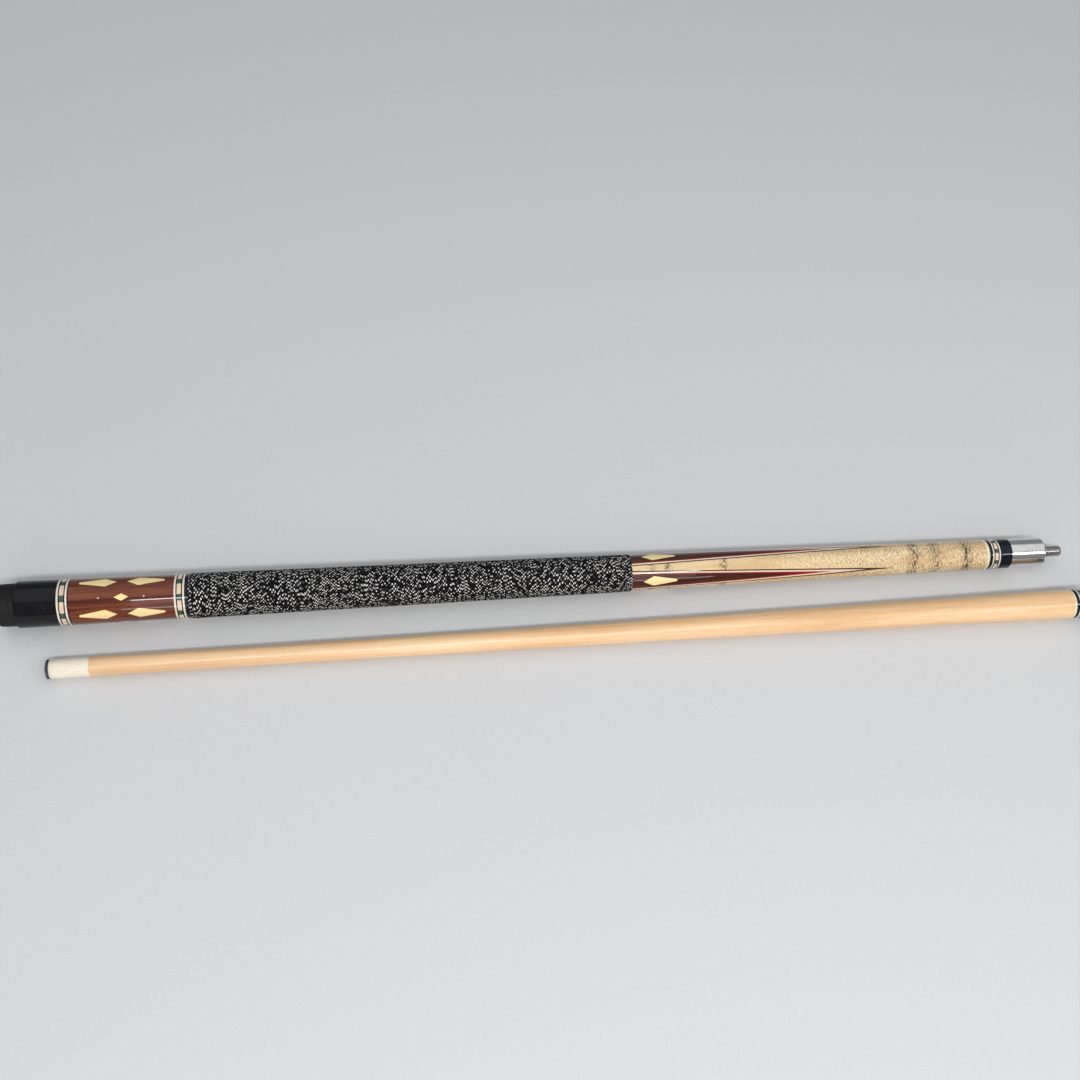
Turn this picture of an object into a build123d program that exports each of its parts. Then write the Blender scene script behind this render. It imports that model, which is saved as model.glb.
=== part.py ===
from build123d import *
from math import atan, cos, sin, sqrt
import os

# A two-piece pool cue, taken apart: the butt and the shaft lie side by side on a flat surface.
# +X runs along the cue towards the joint ends, +Z is up, and the shaft is on the -Y side.
# The origin is in the middle of the pair, on the surface. All lengths are in millimetres.

# ---------------------------------------------------------------- butt: lengths along its axis
bumper_length = 13.0
cap_length = 27.5
sleeve_length = 68.2
wrap_length = 304.8
forearm_length = 266.7
joint_sleeve_length = 9.2
collar_length = 26.0
pin_reach = 16.5

# ---------------------------------------------------------------- butt: radii and walls
butt_radius = 15.9
joint_radius = 10.65
wrap_proud = 0.12
wrap_thickness = 0.7
bumper_radius = 14.3
bumper_flare = 0.4
bumper_round = 2.5
bumper_recess_radius = 4.0
bumper_recess_depth = 3.0
core_tenon_radius = 9.5
forearm_tenon_radius = 8.2
cap_floor = 8.0
collar_front_wall = 4.0
edge_chamfer = 0.3

# ---------------------------------------------------------------- ring sets (width of each ring)
white_width = 1.2
black_width = 0.8
block_width = 2.8
band_width = 2.3
joint_white_width = 0.95
joint_black_width = 0.8
joint_block_width = 2.5
joint_band_width = 2.4
block_count = 8
ivory_arc = 28.5
green_arc = 360 / block_count - ivory_arc

# angle of one green block, turned from straight up towards -Y
rear_green_angle = 21.0
front_green_angle = 32.0
joint_green_angle = 18.0

# ---------------------------------------------------------------- inlays
inlay_depth = 1.2
inlay_blank = 4.0
inlay_rows = 4
sleeve_index = 24.0
forearm_index = 17.0
spear_length = 24.5
spear_shoulder = 7.4
spear_half_width = 3.9
spear_tail_radius = 1.0
spear_gap = 3.4
diamond_length = 9.5
diamond_width = 4.9
dot_radius = 0.8
dot_station = 14.7
point_spear_station = 8.0

# ---------------------------------------------------------------- points and veneers
point_length = 194.8
groove_closing = 0.0534
black_veneer = 0.82
white_veneer = 0.95
red_veneer = 0.85
point_tail = 20.0
wedge_reach = 24.0

# ---------------------------------------------------------------- pieces inside the butt
bore_radius = 4.8
bore_depth = 130.0
weight_bolt_radius = 4.75
weight_bolt_start = 45.0
weight_bolt_length = 63.5
bumper_screw_depth = 20.0
bumper_screw_head_radius = 7.0
bumper_screw_head_start = -9.5
bumper_screw_head_length = 3.5
forearm_screw_radius = 4.76
forearm_screw_length = 76.0
pin_radius = 3.97
pin_shank_radius = 4.4
pin_embedded = 38.0
pin_chamfer = 0.9
slot_width = 1.6
slot_depth = 2.0

# ---------------------------------------------------------------- shaft
shaft_length = 736.0
shaft_collar_length = 9.2
ferrule_length = 25.4
ferrule_radius = 6.5
ferrule_wall = 2.0
ferrule_cap = 3.0
tip_radius = 6.45
tip_length = 3.4
tip_edge = 2.0
shaft_sag = 1.1
insert_radius = 6.0
insert_length = 26.0
insert_bore_depth = 20.0
insert_clearance = 0.04
pin_clearance = 0.05

# ---------------------------------------------------------------- how the two halves lie
axis_spacing = 45.0
shaft_lead = 26.5

# ---------------------------------------------------------------- stations from the cap's rear face
set_width = 2 * white_width + 3 * black_width + block_width
rear_set_start = cap_length
sleeve_start = rear_set_start + set_width
front_set_start = sleeve_start + sleeve_length
front_set_width = 2 * white_width + 2 * black_width + block_width + band_width
wrap_start = front_set_start + front_set_width
wrap_end = wrap_start + wrap_length
joint_set_start = wrap_end + forearm_length
joint_set_width = 3 * joint_white_width + 2 * joint_black_width + joint_block_width + joint_band_width
joint_sleeve_start = joint_set_start + joint_set_width
collar_start = joint_sleeve_start + joint_sleeve_length
joint_face = collar_start + collar_length
splice = wrap_end - point_tail
point_tip = wrap_end + point_length
tenon_end = joint_face - collar_front_wall

# ---------------------------------------------------------------- frames of the two halves
butt_taper = (butt_radius - joint_radius) / joint_face
butt_tilt = atan(butt_taper)
overall_length = bumper_length + joint_face + shaft_lead
overall_width = butt_radius + axis_spacing + joint_radius
butt_plane = Plane(
    origin=(
        bumper_length - overall_length / 2,
        overall_width / 2 - butt_radius,
        (butt_radius + wrap_proud) * cos(butt_tilt),
    ),
    x_dir=(cos(butt_tilt), 0, -sin(butt_tilt)),
    z_dir=(0, -1, 0),
)
butt_axis = Axis(butt_plane.origin, butt_plane.x_dir)

ferrule_front = shaft_length - tip_length
ferrule_start = ferrule_front - ferrule_length
shaft_tilt = atan((joint_radius - ferrule_radius) / ferrule_front)
shaft_plane = Plane(
    origin=(
        overall_length / 2,
        joint_radius - overall_width / 2,
        joint_radius * cos(shaft_tilt),
    ),
    x_dir=(-cos(shaft_tilt), 0, -sin(shaft_tilt)),
    z_dir=(0, 1, 0),
)
shaft_axis = Axis(shaft_plane.origin, shaft_plane.x_dir)


def butt_r(station):
    """Outer radius of the butt at a distance from the cap's rear face."""
    return butt_radius - butt_taper * station


def shaft_r(station):
    """Outer radius of the shaft's joint end at a distance from its joint face."""
    return joint_radius - butt_taper * station


def turned(plane, angle):
    """The plane of one half, turned about that half's axis; it starts straight up."""
    own_axis = Axis(plane.origin, plane.x_dir)
    return Plane(plane.origin, x_dir=plane.x_dir, z_dir=plane.z_dir.rotate(own_axis, angle))


def turn(outline, plane, axis, arc=360.0, mode=Mode.ADD):
    """Turn a closed outline of (station, radius) points about the axis of one half."""
    with BuildSketch(plane) as section:
        with BuildLine():
            Polyline(*outline, close=True)
        make_face()
    revolve(section.sketch, axis=axis, revolution_arc=arc, mode=mode)


def butt_band(start, end, inner, arc=360.0, angle=0.0, mode=Mode.ADD):
    """A ring of the butt, flush with its taper; an arc shorter than 360 starts at the angle."""
    outline = [(start, inner), (start, butt_r(start)), (end, butt_r(end)), (end, inner)]
    turn(outline, turned(butt_plane, angle), butt_axis, arc, mode)


def shaft_band(start, end, inner, arc=360.0, angle=0.0, mode=Mode.ADD):
    """The same for the joint end of the shaft."""
    outline = [(start, inner), (start, shaft_r(start)), (end, shaft_r(end)), (end, inner)]
    turn(outline, turned(shaft_plane, angle), shaft_axis, arc, mode)


def blocks(band, start, width, inner, arc, middle):
    """Equal blocks round a ring, one of them centred on an angle."""
    for index in range(block_count):
        angle = middle - arc / 2 + index * 360 / block_count
        band(start, start + width, inner, arc, angle)


def cylinder(plane, axis, start, end, radius, mode=Mode.ADD):
    """A plain cylinder along the axis of one half."""
    turn([(start, 0), (start, radius), (end, radius), (end, 0)], plane, axis, mode=mode)


def facing(angle, height=0.0):
    """A plane along the butt's axis, facing outwards at an angle and at a height above the axis."""
    upright = turned(butt_plane, angle)
    return Plane(upright.origin, x_dir=upright.x_dir, z_dir=upright.y_dir).offset(height)


def row_angles(index):
    """Angles of the inlay rows, starting from one of them."""
    return [index + row * 360 / inlay_rows for row in range(inlay_rows)]


def spear(angle, station, way):
    """A spear standing outwards through the butt's surface: its point is at the station."""
    shoulder = station + way * spear_shoulder
    tail = station + way * (spear_length - spear_tail_radius)
    end = station + way * spear_length
    floor = butt_r(max(station, end)) - inlay_depth
    with BuildSketch(facing(angle, floor)) as outline:
        with BuildLine():
            Line((station, 0), (shoulder, spear_half_width))
            Line((shoulder, spear_half_width), (tail, spear_tail_radius))
            ThreePointArc((tail, spear_tail_radius), (end, 0), (tail, -spear_tail_radius))
            Line((tail, -spear_tail_radius), (shoulder, -spear_half_width))
            Line((shoulder, -spear_half_width), (station, 0))
        make_face()
    extrude(outline.sketch, amount=inlay_blank)


def wedges(lift):
    """Four square-edged grooves that run out to the surface; lift raises their bottom lines."""
    depth = groove_closing * (point_tip - splice)
    rise = groove_closing - butt_taper
    for angle in row_angles(forearm_index + 180 / inlay_rows):
        upright = turned(butt_plane, angle)
        bottom = upright.from_local_coords((splice, butt_r(splice) - depth + lift, 0))
        along = (upright.x_dir + upright.y_dir * rise).normalized()
        with BuildSketch(Plane(bottom, x_dir=upright.z_dir * -1, z_dir=along)) as groove:
            with BuildLine():
                Polyline((0, 0), (wedge_reach, wedge_reach), (-wedge_reach, wedge_reach), close=True)
            make_face()
        extrude(groove.sketch, amount=point_tip - splice + wedge_reach)


def forearm_body(mode=Mode.ADD):
    """The whole forearm, with its tail under the wrap and its tenon in the joint."""
    outline = [
        (splice, 0),
        (splice, butt_r(splice) - wrap_thickness),
        (wrap_end, butt_r(wrap_end) - wrap_thickness),
        (wrap_end, butt_r(wrap_end)),
        (joint_set_start, butt_r(joint_set_start)),
        (joint_set_start, forearm_tenon_radius),
        (tenon_end, forearm_tenon_radius),
        (tenon_end, 0),
    ]
    turn(outline, butt_plane, butt_axis, mode=mode)


def forearm_screw_hole():
    """The hole for the screw that holds the forearm on the handle."""
    half = forearm_screw_length / 2
    cylinder(butt_plane, butt_axis, splice - half, splice + half, forearm_screw_radius, Mode.SUBTRACT)


# ================================================================ butt, from the rear
with BuildPart() as rubber_bumper:
    turn(
        [
            (-bumper_length, 0),
            (-bumper_length, bumper_radius - bumper_round),
            (bumper_round - bumper_length, bumper_radius),
            (0, bumper_radius + bumper_flare),
            (0, 0),
        ],
        butt_plane,
        butt_axis,
    )
    cylinder(
        butt_plane,
        butt_axis,
        -bumper_length,
        bumper_recess_depth - bumper_length,
        bumper_recess_radius,
        Mode.SUBTRACT,
    )
    cylinder(
        butt_plane,
        butt_axis,
        bumper_screw_head_start,
        bumper_screw_head_start + bumper_screw_head_length,
        bumper_screw_head_radius,
        Mode.SUBTRACT,
    )
    cylinder(butt_plane, butt_axis, bumper_screw_head_start, 0, bore_radius, Mode.SUBTRACT)

with BuildPart() as bumper_screw:
    cylinder(
        butt_plane,
        butt_axis,
        bumper_screw_head_start,
        bumper_screw_head_start + bumper_screw_head_length,
        bumper_screw_head_radius,
    )
    cylinder(butt_plane, butt_axis, bumper_screw_head_start, bumper_screw_depth, bore_radius)

with BuildPart() as butt_cap:
    butt_band(0, cap_length, bore_radius)
    cylinder(butt_plane, butt_axis, cap_floor, cap_length, core_tenon_radius, Mode.SUBTRACT)

with BuildPart() as weight_bolt:
    cylinder(
        butt_plane,
        butt_axis,
        weight_bolt_start,
        weight_bolt_start + weight_bolt_length,
        weight_bolt_radius,
    )
    with BuildSketch(facing(0)) as slot:
        with Locations((weight_bolt_start, 0)):
            Rectangle(2 * slot_depth, slot_width)
    extrude(slot.sketch, amount=bore_radius, both=True, mode=Mode.SUBTRACT)

# ---------------------------------------------------------------- ring set behind the sleeve
rear_black_1 = rear_set_start + white_width
rear_block = rear_black_1 + black_width
rear_black_2 = rear_block + block_width
rear_white_2 = rear_black_2 + black_width
rear_black_3 = rear_white_2 + white_width

with BuildPart() as rear_white_rings:
    for ring_start in (rear_set_start, rear_white_2):
        butt_band(ring_start, ring_start + white_width, core_tenon_radius)

with BuildPart() as rear_black_rings:
    for ring_start in (rear_black_1, rear_black_2, rear_black_3):
        butt_band(ring_start, ring_start + black_width, core_tenon_radius)

with BuildPart() as rear_ivory_blocks:
    blocks(
        butt_band,
        rear_block,
        block_width,
        core_tenon_radius,
        ivory_arc,
        rear_green_angle + 180 / block_count,
    )

with BuildPart() as rear_green_blocks:
    blocks(butt_band, rear_block, block_width, core_tenon_radius, green_arc, rear_green_angle)

# ---------------------------------------------------------------- sleeve and its inlays
sleeve_end = sleeve_start + sleeve_length
sleeve_middle = (sleeve_start + sleeve_end) / 2
sleeve_floor = butt_r(sleeve_end) - inlay_depth

with BuildPart() as sleeve_spears:
    for row_angle in row_angles(sleeve_index + 180 / inlay_rows):
        for way in (-1, 1):
            spear(row_angle, sleeve_middle + way * spear_gap, way)
    butt_band(sleeve_start, sleeve_end, 0, mode=Mode.INTERSECT)

with BuildPart() as sleeve_diamonds:
    for row_angle in row_angles(sleeve_index):
        with BuildSketch(facing(row_angle, sleeve_floor)) as diamond:
            with BuildLine():
                Polyline(
                    (sleeve_middle - diamond_length / 2, 0),
                    (sleeve_middle, diamond_width / 2),
                    (sleeve_middle + diamond_length / 2, 0),
                    (sleeve_middle, -diamond_width / 2),
                    close=True,
                )
            make_face()
        extrude(diamond.sketch, amount=inlay_blank)
    butt_band(sleeve_start, sleeve_end, 0, mode=Mode.INTERSECT)

with BuildPart() as sleeve_dots:
    for row_angle in row_angles(sleeve_index):
        with BuildSketch(facing(row_angle, sleeve_floor)) as dots:
            with Locations((sleeve_middle - dot_station, 0), (sleeve_middle + dot_station, 0)):
                Circle(dot_radius)
        extrude(dots.sketch, amount=inlay_blank)
    butt_band(sleeve_start, sleeve_end, 0, mode=Mode.INTERSECT)

with BuildPart() as butt_sleeve:
    butt_band(sleeve_start, sleeve_end, core_tenon_radius)
    for inlay in (sleeve_spears, sleeve_diamonds, sleeve_dots):
        add(inlay.part, mode=Mode.SUBTRACT)

# ---------------------------------------------------------------- ring set before the wrap
front_black_1 = front_set_start + white_width
front_block = front_black_1 + black_width
front_black_2 = front_block + block_width
front_white_2 = front_black_2 + black_width
front_band = front_white_2 + white_width

with BuildPart() as front_white_rings:
    for ring_start in (front_set_start, front_white_2):
        butt_band(ring_start, ring_start + white_width, core_tenon_radius)

with BuildPart() as front_black_rings:
    for ring_start in (front_black_1, front_black_2):
        butt_band(ring_start, ring_start + black_width, core_tenon_radius)
    butt_band(front_band, wrap_start, core_tenon_radius)

with BuildPart() as front_ivory_blocks:
    blocks(
        butt_band,
        front_block,
        block_width,
        core_tenon_radius,
        ivory_arc,
        front_green_angle + 180 / block_count,
    )

with BuildPart() as front_green_blocks:
    blocks(butt_band, front_block, block_width, core_tenon_radius, green_arc, front_green_angle)

# ---------------------------------------------------------------- handle
with BuildPart() as handle_core:
    turn(
        [
            (cap_floor, 0),
            (cap_floor, core_tenon_radius),
            (wrap_start, core_tenon_radius),
            (wrap_start, butt_r(wrap_start) - wrap_thickness),
            (splice, butt_r(splice) - wrap_thickness),
            (splice, 0),
        ],
        butt_plane,
        butt_axis,
    )
    cylinder(butt_plane, butt_axis, 0, bore_depth, bore_radius, Mode.SUBTRACT)
    forearm_screw_hole()

with BuildPart() as linen_wrap:
    turn(
        [
            (wrap_start, butt_r(wrap_start) - wrap_thickness),
            (wrap_start, butt_r(wrap_start) + wrap_proud),
            (wrap_end, butt_r(wrap_end) + wrap_proud),
            (wrap_end, butt_r(wrap_end) - wrap_thickness),
        ],
        butt_plane,
        butt_axis,
    )

with BuildPart() as forearm_screw:
    cylinder(
        butt_plane,
        butt_axis,
        splice - forearm_screw_length / 2,
        splice + forearm_screw_length / 2,
        forearm_screw_radius,
    )

# ---------------------------------------------------------------- forearm, points and veneers
white_lift = black_veneer * sqrt(2)
red_lift = white_lift + white_veneer * sqrt(2)
point_lift = red_lift + red_veneer * sqrt(2)

with BuildPart() as point_spears:
    for row_angle in row_angles(forearm_index + 180 / inlay_rows):
        spear(row_angle, wrap_end + point_spear_station, 1)
    butt_band(wrap_end, joint_set_start, 0, mode=Mode.INTERSECT)

with BuildPart() as point_blanks:
    wedges(point_lift)
    forearm_body(Mode.INTERSECT)

with BuildPart() as red_blanks:
    wedges(red_lift)
    forearm_body(Mode.INTERSECT)

with BuildPart() as white_blanks:
    wedges(white_lift)
    forearm_body(Mode.INTERSECT)

with BuildPart() as black_blanks:
    wedges(0)
    forearm_body(Mode.INTERSECT)

with BuildPart() as rosewood_points:
    add(point_blanks.part)
    add(point_spears.part, mode=Mode.SUBTRACT)
    forearm_screw_hole()

with BuildPart() as red_veneers:
    add(red_blanks.part)
    add(point_blanks.part, mode=Mode.SUBTRACT)
    forearm_screw_hole()

with BuildPart() as white_veneers:
    add(white_blanks.part)
    add(red_blanks.part, mode=Mode.SUBTRACT)
    forearm_screw_hole()

with BuildPart() as black_veneers:
    add(black_blanks.part)
    add(white_blanks.part, mode=Mode.SUBTRACT)
    forearm_screw_hole()

with BuildPart() as forearm:
    forearm_body()
    add(black_blanks.part, mode=Mode.SUBTRACT)
    forearm_screw_hole()
    cylinder(
        butt_plane,
        butt_axis,
        joint_face - pin_embedded,
        joint_face,
        pin_shank_radius,
        Mode.SUBTRACT,
    )

# ---------------------------------------------------------------- joint end of the butt
joint_band = joint_set_start + joint_white_width
joint_white_2 = joint_band + joint_band_width
joint_black_1 = joint_white_2 + joint_white_width
joint_block = joint_black_1 + joint_black_width
joint_black_2 = joint_block + joint_block_width
joint_white_3 = joint_black_2 + joint_black_width

with BuildPart() as joint_white_rings:
    for ring_start in (joint_set_start, joint_white_2, joint_white_3):
        butt_band(ring_start, ring_start + joint_white_width, forearm_tenon_radius)

with BuildPart() as joint_black_rings:
    butt_band(joint_band, joint_white_2, forearm_tenon_radius)
    for ring_start in (joint_black_1, joint_black_2):
        butt_band(ring_start, ring_start + joint_black_width, forearm_tenon_radius)

with BuildPart() as joint_ivory_blocks:
    blocks(
        butt_band,
        joint_block,
        joint_block_width,
        forearm_tenon_radius,
        ivory_arc,
        joint_green_angle + 180 / block_count,
    )

with BuildPart() as joint_green_blocks:
    blocks(
        butt_band,
        joint_block,
        joint_block_width,
        forearm_tenon_radius,
        green_arc,
        joint_green_angle,
    )

with BuildPart() as joint_sleeve:
    butt_band(joint_sleeve_start, collar_start, forearm_tenon_radius)

with BuildPart() as joint_collar:
    turn(
        [
            (collar_start, forearm_tenon_radius),
            (collar_start, butt_r(collar_start)),
            (joint_face - edge_chamfer, joint_radius),
            (joint_face, joint_radius - edge_chamfer),
            (joint_face, pin_shank_radius),
            (tenon_end, pin_shank_radius),
            (tenon_end, forearm_tenon_radius),
        ],
        butt_plane,
        butt_axis,
    )

with BuildPart() as joint_pin:
    turn(
        [
            (joint_face - pin_embedded, 0),
            (joint_face - pin_embedded, pin_shank_radius),
            (joint_face, pin_shank_radius),
            (joint_face, pin_radius),
            (joint_face + pin_reach - pin_chamfer, pin_radius),
            (joint_face + pin_reach, pin_radius - pin_chamfer),
            (joint_face + pin_reach, 0),
        ],
        butt_plane,
        butt_axis,
    )

# ================================================================ shaft, from the joint face
insert_hole_radius = insert_radius + insert_clearance
shaft_white_3 = shaft_collar_length
shaft_black_2 = shaft_white_3 + joint_white_width
shaft_block = shaft_black_2 + joint_black_width
shaft_black_1 = shaft_block + joint_block_width
shaft_white_2 = shaft_black_1 + joint_black_width
shaft_ring_band = shaft_white_2 + joint_white_width
shaft_white_1 = shaft_ring_band + joint_band_width
wood_start = shaft_white_1 + joint_white_width

with BuildPart() as shaft_collar:
    turn(
        [
            (0, insert_hole_radius),
            (0, joint_radius - edge_chamfer),
            (edge_chamfer, joint_radius - edge_chamfer * butt_taper),
            (shaft_collar_length, shaft_r(shaft_collar_length)),
            (shaft_collar_length, insert_hole_radius),
        ],
        shaft_plane,
        shaft_axis,
    )

with BuildPart() as shaft_white_rings:
    for ring_start in (shaft_white_1, shaft_white_2, shaft_white_3):
        shaft_band(ring_start, ring_start + joint_white_width, forearm_tenon_radius)

with BuildPart() as shaft_black_rings:
    shaft_band(shaft_ring_band, shaft_white_1, forearm_tenon_radius)
    for ring_start in (shaft_black_1, shaft_black_2):
        shaft_band(ring_start, ring_start + joint_black_width, forearm_tenon_radius)

with BuildPart() as shaft_ivory_blocks:
    blocks(
        shaft_band,
        shaft_block,
        joint_block_width,
        forearm_tenon_radius,
        ivory_arc,
        180 / block_count - joint_green_angle,
    )

with BuildPart() as shaft_green_blocks:
    blocks(
        shaft_band,
        shaft_block,
        joint_block_width,
        forearm_tenon_radius,
        green_arc,
        -joint_green_angle,
    )

with BuildPart() as shaft_insert:
    cylinder(shaft_plane, shaft_axis, 0, insert_length, insert_radius)
    cylinder(
        shaft_plane,
        shaft_axis,
        0,
        insert_bore_depth,
        pin_radius + pin_clearance,
        Mode.SUBTRACT,
    )

with BuildPart() as shaft:
    wood_r = shaft_r(wood_start)
    wood_middle = (wood_start + ferrule_start) / 2
    with BuildSketch(shaft_plane) as wood_section:
        with BuildLine():
            Line((wood_start, 0), (wood_start, wood_r))
            ThreePointArc(
                (wood_start, wood_r),
                (wood_middle, (wood_r + ferrule_radius) / 2 - shaft_sag),
                (ferrule_start, ferrule_radius),
            )
            Polyline(
                (ferrule_start, ferrule_radius),
                (ferrule_start, ferrule_radius - ferrule_wall),
                (ferrule_front - ferrule_cap, ferrule_radius - ferrule_wall),
                (ferrule_front - ferrule_cap, 0),
                (wood_start, 0),
            )
        make_face()
    revolve(wood_section.sketch, axis=shaft_axis)
    cylinder(shaft_plane, shaft_axis, shaft_collar_length, wood_start, forearm_tenon_radius)
    cylinder(
        shaft_plane,
        shaft_axis,
        0,
        insert_length + insert_clearance,
        insert_hole_radius,
        Mode.SUBTRACT,
    )

with BuildPart() as ferrule:
    cylinder(shaft_plane, shaft_axis, ferrule_start, ferrule_front, ferrule_radius)
    cylinder(
        shaft_plane,
        shaft_axis,
        ferrule_start,
        ferrule_front - ferrule_cap,
        ferrule_radius - ferrule_wall,
        Mode.SUBTRACT,
    )

with BuildPart() as tip:
    with BuildSketch(shaft_plane) as tip_section:
        with BuildLine():
            Polyline(
                (shaft_length, 0),
                (ferrule_front, 0),
                (ferrule_front, tip_radius),
                (ferrule_front + tip_edge, tip_radius),
            )
            dome_radius = (tip_radius**2 + (tip_length - tip_edge) ** 2) / (2 * (tip_length - tip_edge))
            RadiusArc((ferrule_front + tip_edge, tip_radius), (shaft_length, 0), dome_radius)
        make_face()
    revolve(tip_section.sketch, axis=shaft_axis)

# ================================================================ one file for each piece
pieces = {
    "rubber_bumper": rubber_bumper,
    "bumper_screw": bumper_screw,
    "butt_cap": butt_cap,
    "weight_bolt": weight_bolt,
    "rear_white_rings": rear_white_rings,
    "rear_black_rings": rear_black_rings,
    "rear_ivory_blocks": rear_ivory_blocks,
    "rear_green_blocks": rear_green_blocks,
    "butt_sleeve": butt_sleeve,
    "sleeve_spears": sleeve_spears,
    "sleeve_diamonds": sleeve_diamonds,
    "sleeve_dots": sleeve_dots,
    "front_white_rings": front_white_rings,
    "front_black_rings": front_black_rings,
    "front_ivory_blocks": front_ivory_blocks,
    "front_green_blocks": front_green_blocks,
    "handle_core": handle_core,
    "linen_wrap": linen_wrap,
    "forearm_screw": forearm_screw,
    "forearm": forearm,
    "black_veneers": black_veneers,
    "white_veneers": white_veneers,
    "red_veneers": red_veneers,
    "rosewood_points": rosewood_points,
    "point_spears": point_spears,
    "joint_white_rings": joint_white_rings,
    "joint_black_rings": joint_black_rings,
    "joint_ivory_blocks": joint_ivory_blocks,
    "joint_green_blocks": joint_green_blocks,
    "joint_sleeve": joint_sleeve,
    "joint_collar": joint_collar,
    "joint_pin": joint_pin,
    "shaft_collar": shaft_collar,
    "shaft_white_rings": shaft_white_rings,
    "shaft_black_rings": shaft_black_rings,
    "shaft_ivory_blocks": shaft_ivory_blocks,
    "shaft_green_blocks": shaft_green_blocks,
    "shaft_insert": shaft_insert,
    "shaft": shaft,
    "ferrule": ferrule,
    "tip": tip,
}

os.makedirs("parts", exist_ok=True)
for piece_name, piece in pieces.items():
    piece.part.label = piece_name
    export_step(piece.part, f"parts/{piece_name}.step")
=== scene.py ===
from math import acos, asin, atan, ceil, cos, degrees, pi, radians, sin, sqrt, tau

import bmesh
import bpy
import numpy as np
from mathutils import Matrix, Vector
from mathutils.geometry import delaunay_2d_cdt


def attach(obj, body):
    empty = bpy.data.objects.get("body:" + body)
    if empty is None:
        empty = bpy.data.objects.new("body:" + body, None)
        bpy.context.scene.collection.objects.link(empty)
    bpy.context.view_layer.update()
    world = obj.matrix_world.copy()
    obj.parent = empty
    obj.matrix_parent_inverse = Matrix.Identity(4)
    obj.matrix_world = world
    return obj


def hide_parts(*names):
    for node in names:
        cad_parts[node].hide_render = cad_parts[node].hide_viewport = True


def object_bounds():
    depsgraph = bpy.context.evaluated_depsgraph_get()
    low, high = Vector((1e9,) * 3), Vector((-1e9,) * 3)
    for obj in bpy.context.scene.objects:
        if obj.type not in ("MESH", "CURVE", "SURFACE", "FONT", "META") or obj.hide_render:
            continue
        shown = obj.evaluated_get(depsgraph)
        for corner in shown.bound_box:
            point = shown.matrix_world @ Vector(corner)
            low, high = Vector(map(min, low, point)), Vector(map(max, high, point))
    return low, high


# The looks of a two-piece pool cue. Each half is modelled along its own axis: a station is a
# distance along the axis, and an angle is counted from straight up towards -Y.
# Stations of the butt start at the cap's rear face, those of the shaft at its joint face.
# Lengths are in millimetres up to the mesh, and angles are in degrees.

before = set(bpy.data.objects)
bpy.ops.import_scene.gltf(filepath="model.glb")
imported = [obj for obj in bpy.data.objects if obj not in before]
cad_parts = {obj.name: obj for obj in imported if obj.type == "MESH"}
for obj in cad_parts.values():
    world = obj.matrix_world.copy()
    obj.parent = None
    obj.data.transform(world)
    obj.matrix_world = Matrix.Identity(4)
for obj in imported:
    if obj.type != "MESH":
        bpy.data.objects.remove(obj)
cad_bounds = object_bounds()
MM = 0.001
SEGMENTS = 128
WELD = 0.0002
SHARP_ANGLE = 32

# ---------------------------------------------------------------- butt: driving dimensions
# The butt rests on the CAD's smooth wrap, which stands proud of the wood by WRAP_REST.
BUTT_RADIUS = 15.9
JOINT_RADIUS = 10.65
WRAP_REST = 0.12
BUMPER = 13.0
BUMPER_RADIUS = 14.3
BUMPER_FLARE = 0.4
BUMPER_ROUND = 2.5
MOULD_LINE = 4.2
MOULD_LINE_HALF = 0.4
RECESS = 3.0
RECESS_RADIUS = 4.0
RECESS_ROUND = 0.4
RECESS_DRAFT = 0.4
CAP = 27.5
CAP_ROUND = 0.6
CAP_FLOOR = 8.0
CAP_BORE_RADIUS = 9.6
SLEEVE = 68.2
WRAP = 304.8
FOREARM = 266.7
JOINT_SLEEVE = 9.2
COLLAR = 26.0
COLLAR_BORE_RADIUS = 8.0
COLLAR_WALL = 4.0
COLLAR_HOLE = 3.0
COLLAR_DISH = 0.5
COLLAR_DISH_RADIUS = 5.2
JOINT_EDGE = 0.35
# A narrow row of faces beside a turned edge keeps its shading crisp.
EDGE_ROW = 0.5
PIN_REACH = 16.5
WHITE = 1.2
BLACK = 0.8
BLOCK = 2.8
BAND = 2.3
JOINT_WHITE = 0.95
JOINT_BLACK = 0.8
JOINT_BLOCK = 2.5
JOINT_BAND = 2.4
BLOCK_COUNT = 8
IVORY_ARC = 28.5
REAR_GREEN = 21.0
FRONT_GREEN = 32.0
JOINT_GREEN = 18.0
SLEEVE_INDEX = 24.0
FOREARM_INDEX = 17.0
ROWS = 4
ROW_STEP = 360 / ROWS

# ---------------------------------------------------------------- inlays, points and threads
SPEAR = 24.5
SPEAR_SHOULDER = 7.4
SPEAR_HALF_WIDTH = 3.9
SPEAR_TAIL = 1.0
SPEAR_GAP = 3.4
DIAMOND_LENGTH = 9.5
DIAMOND_WIDTH = 4.9
DOT_RADIUS = 0.8
DOT_RIM = 0.2
DOT_STATION = 14.7
POINT_SPEAR_START = 8.0
POINT_LENGTH = 194.8
GROOVE_CLOSING = 0.0534
VENEERS = {"black": 0.82, "white": 0.95, "red": 0.85}
SKIN_DEPTH = 1.2
BAND_DEPTH = 3.0
LINEN_PITCH = 1.0
LINEN_PROUD = 0.42
LINEN_RIDGE = 0.16
LINEN_COLUMNS = 88
PIN_RADIUS = 3.97
PIN_ROOTED = 3.0
PIN_PITCH = 25.4 / 18
PIN_CHAMFER = 0.9
PIN_THREAD = 0.8
PIN_COLUMNS = 64

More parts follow.
